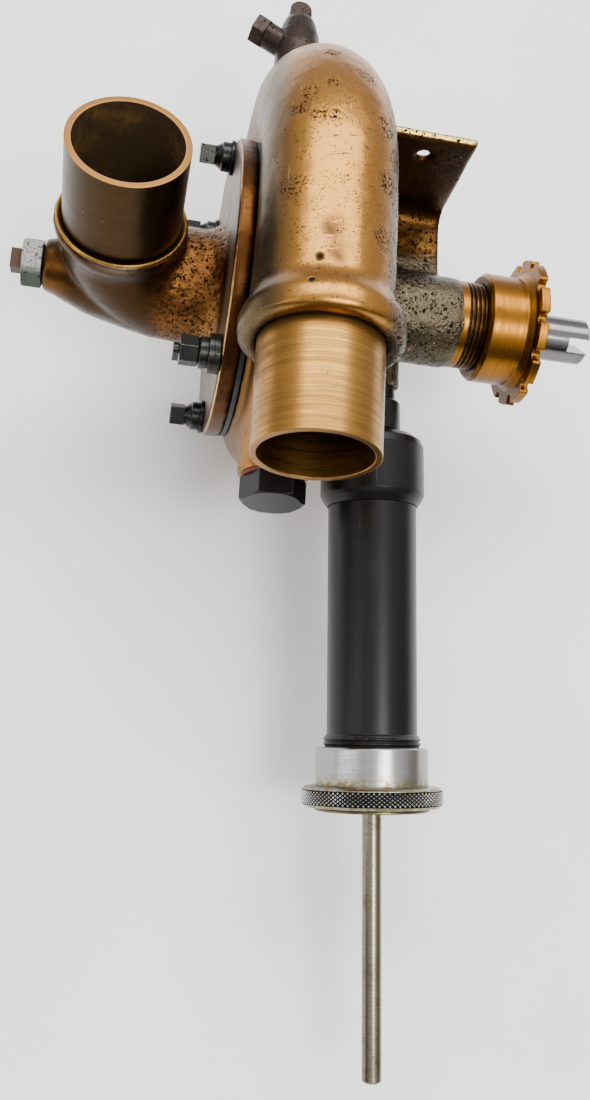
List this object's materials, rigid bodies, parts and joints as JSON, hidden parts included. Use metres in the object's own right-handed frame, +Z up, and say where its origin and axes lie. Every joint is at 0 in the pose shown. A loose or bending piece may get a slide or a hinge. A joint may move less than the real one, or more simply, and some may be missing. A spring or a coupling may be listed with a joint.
{
  "type": "centrifugal water pump",
  "caption": "Bronze centrifugal pump with elbow suction cover, snail casing, adjustable gland, foot, vent cock and spring-loaded greaser.",
  "frame": {"origin": "on the shaft axis at the outer face of the gland nut, where the bare drive end of the shaft begins", "axes": "+X along the shaft to the drive end; -Y along the discharge spigot, so the foot's seating face looks to +Y; +Z is up as the pump lies on a bench, close to the suction spigot's direction"},
  "size_m": [0.2038, 0.3708, 0.1477],
  "materials": {
    "cast_bronze": "sand-cast bronze, pitted and polished by handling",
    "brown_bronze": "bronze darkened brown, polished at its edges",
    "machined_bronze": "turned bronze with fine tool marks",
    "bearing_bronze": "turned bearing bronze",
    "black_steel": "chemically blackened steel, satin",
    "bright_steel": "ground bright steel",
    "plated_steel": "dull plated steel, worn pale on its edges",
    "rusty_steel": "brown oxidised steel",
    "aluminium": "turned and knurled aluminium",
    "gasket": "oiled black jointing",
    "packing": "greased plaited packing",
    "cup_leather": "greased leather",
    "fibre": "red fibre washer",
    "spring_steel": "drawn spring wire",
    "dark_bronze": "dark brown tarnished bronze"
  },
  "bodies": {
    "root": {"volute_body": "cast_bronze", "discharge_spigot": "machined_bronze", "suction_cover": "brown_bronze", "suction_spigot": "brown_bronze", "cover_gasket": "gasket", "cover_bolts": "black_steel", "cover_bolt_washers": "black_steel", "cover_stud": "black_steel", "stud_nut": "black_steel", "stud_washers": "black_steel", "lock_nut": "plated_steel", "inner_bush": "bearing_bronze", "outer_bush": "bearing_bronze", "packing_rings": "packing", "drain_plug": "black_steel", "drain_plug_washer": "fibre", "cock_body": "dark_bronze", "cock_nut": "dark_bronze", "greaser_nipple": "black_steel", "greaser_coupling": "black_steel", "greaser_head": "black_steel", "greaser_barrel": "black_steel", "piston_spring": "spring_steel"},
    "rotor": {"shaft": "bright_steel", "impeller": "bearing_bronze", "impeller_pin": "bright_steel", "impeller_nut": "bearing_bronze"},
    "gland_follower": {"gland_follower": "bearing_bronze"},
    "gland_nut": {"gland_nut": "machined_bronze"},
    "thrust_button": {"thrust_button": "bearing_bronze"},
    "thrust_screw": {"thrust_screw": "rusty_steel"},
    "grease_piston": {"piston_rod": "bright_steel", "grease_piston": "aluminium", "piston_cup": "cup_leather", "piston_nut": "bright_steel"},
    "rod_guide": {"rod_guide": "machined_bronze"},
    "greaser_cap": {"greaser_cap": "aluminium"},
    "cock_plug": {"cock_plug": "dark_bronze", "cock_lever": "dark_bronze"}
  },
  "joints": [
    {"name": "shaft_spin", "type": "hinge", "parent": "root", "child": "rotor", "pos_m": [-0.04, 0, 0], "axis": [1, 0, 0], "continuous": true},
    {"name": "gland_nut_turn", "type": "hinge", "parent": "gland_follower", "child": "gland_nut", "pos_m": [-0.01, 0, 0], "axis": [1, 0, 0], "range_deg": [0, 1090]},
    {"name": "gland_draw", "type": "slide", "parent": "root", "child": "gland_follower", "axis": [1, 0, 0], "range_m": [0, 0.0048]},
    {"name": "thrust_screw_turn", "type": "hinge", "parent": "thrust_button", "child": "thrust_screw", "pos_m": [-0.16, 0, 0], "axis": [1, 0, 0], "range_deg": [-730, 0]},
    {"name": "thrust_back_off", "type": "slide", "parent": "root", "child": "thrust_button", "axis": [1, 0, 0], "range_m": [-0.0025, 0]},
    {"name": "piston_feed", "type": "slide", "parent": "root", "child": "grease_piston", "axis": [-0.0663, 0.9881, 0.1389], "range_m": [0, 0.064], "deforming": ["piston_spring"]},
    {"name": "cap_turn", "type": "hinge", "parent": "rod_guide", "child": "greaser_cap", "pos_m": [-0.0454, -0.1581, -0.02222], "axis": [0.0663, -0.9881, -0.1389], "range_deg": [0, 1450]},
    {"name": "cap_draw", "type": "slide", "parent": "root", "child": "rod_guide", "axis": [0.0663, -0.9881, -0.1389], "range_m": [0, 0.006]},
    {"name": "cock_turn", "type": "hinge", "parent": "root", "child": "cock_plug", "pos_m": [-0.0898, 0.1, 0.01], "axis": [0, 1, 0], "range_deg": [0, 90]}
  ],
  "couplings": [
    {"joint": "gland_nut_turn", "follows": "gland_draw", "rad_per_m": 3927},
    {"joint": "thrust_screw_turn", "follows": "thrust_back_off", "rad_per_m": 5026.5},
    {"joint": "cap_turn", "follows": "cap_draw", "rad_per_m": 4188.8}
  ]
}
